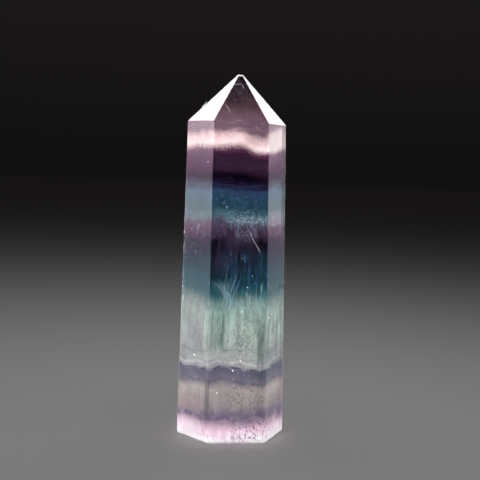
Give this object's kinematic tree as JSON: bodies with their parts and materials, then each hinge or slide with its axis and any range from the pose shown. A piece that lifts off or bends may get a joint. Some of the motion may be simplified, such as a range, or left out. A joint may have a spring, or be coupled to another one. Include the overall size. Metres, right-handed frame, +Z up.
{
  "type": "fluorite point",
  "caption": "Polished six-sided fluorite tower with a faceted, slightly off-centre tip and a flat base to stand on, banded in violet, teal, mint and pale pink.",
  "frame": {"origin": "Middle of the outline's underside, on the plane of the flat base", "axes": "+Z up along the tower from the base to the tip; the widest side faces -Y; +X to the right seen from that side"},
  "size_m": [0.0228, 0.0192, 0.076],
  "materials": {
    "banded_fluorite": "Polished clear to slightly cloudy crystal, colour-zoned in level bands from pale lilac at the tip through violet, teal, mint and grey to pink at the base"
  },
  "bodies": {
    "root": {"fluorite_point": "banded_fluorite"}
  },
  "joints": []
}
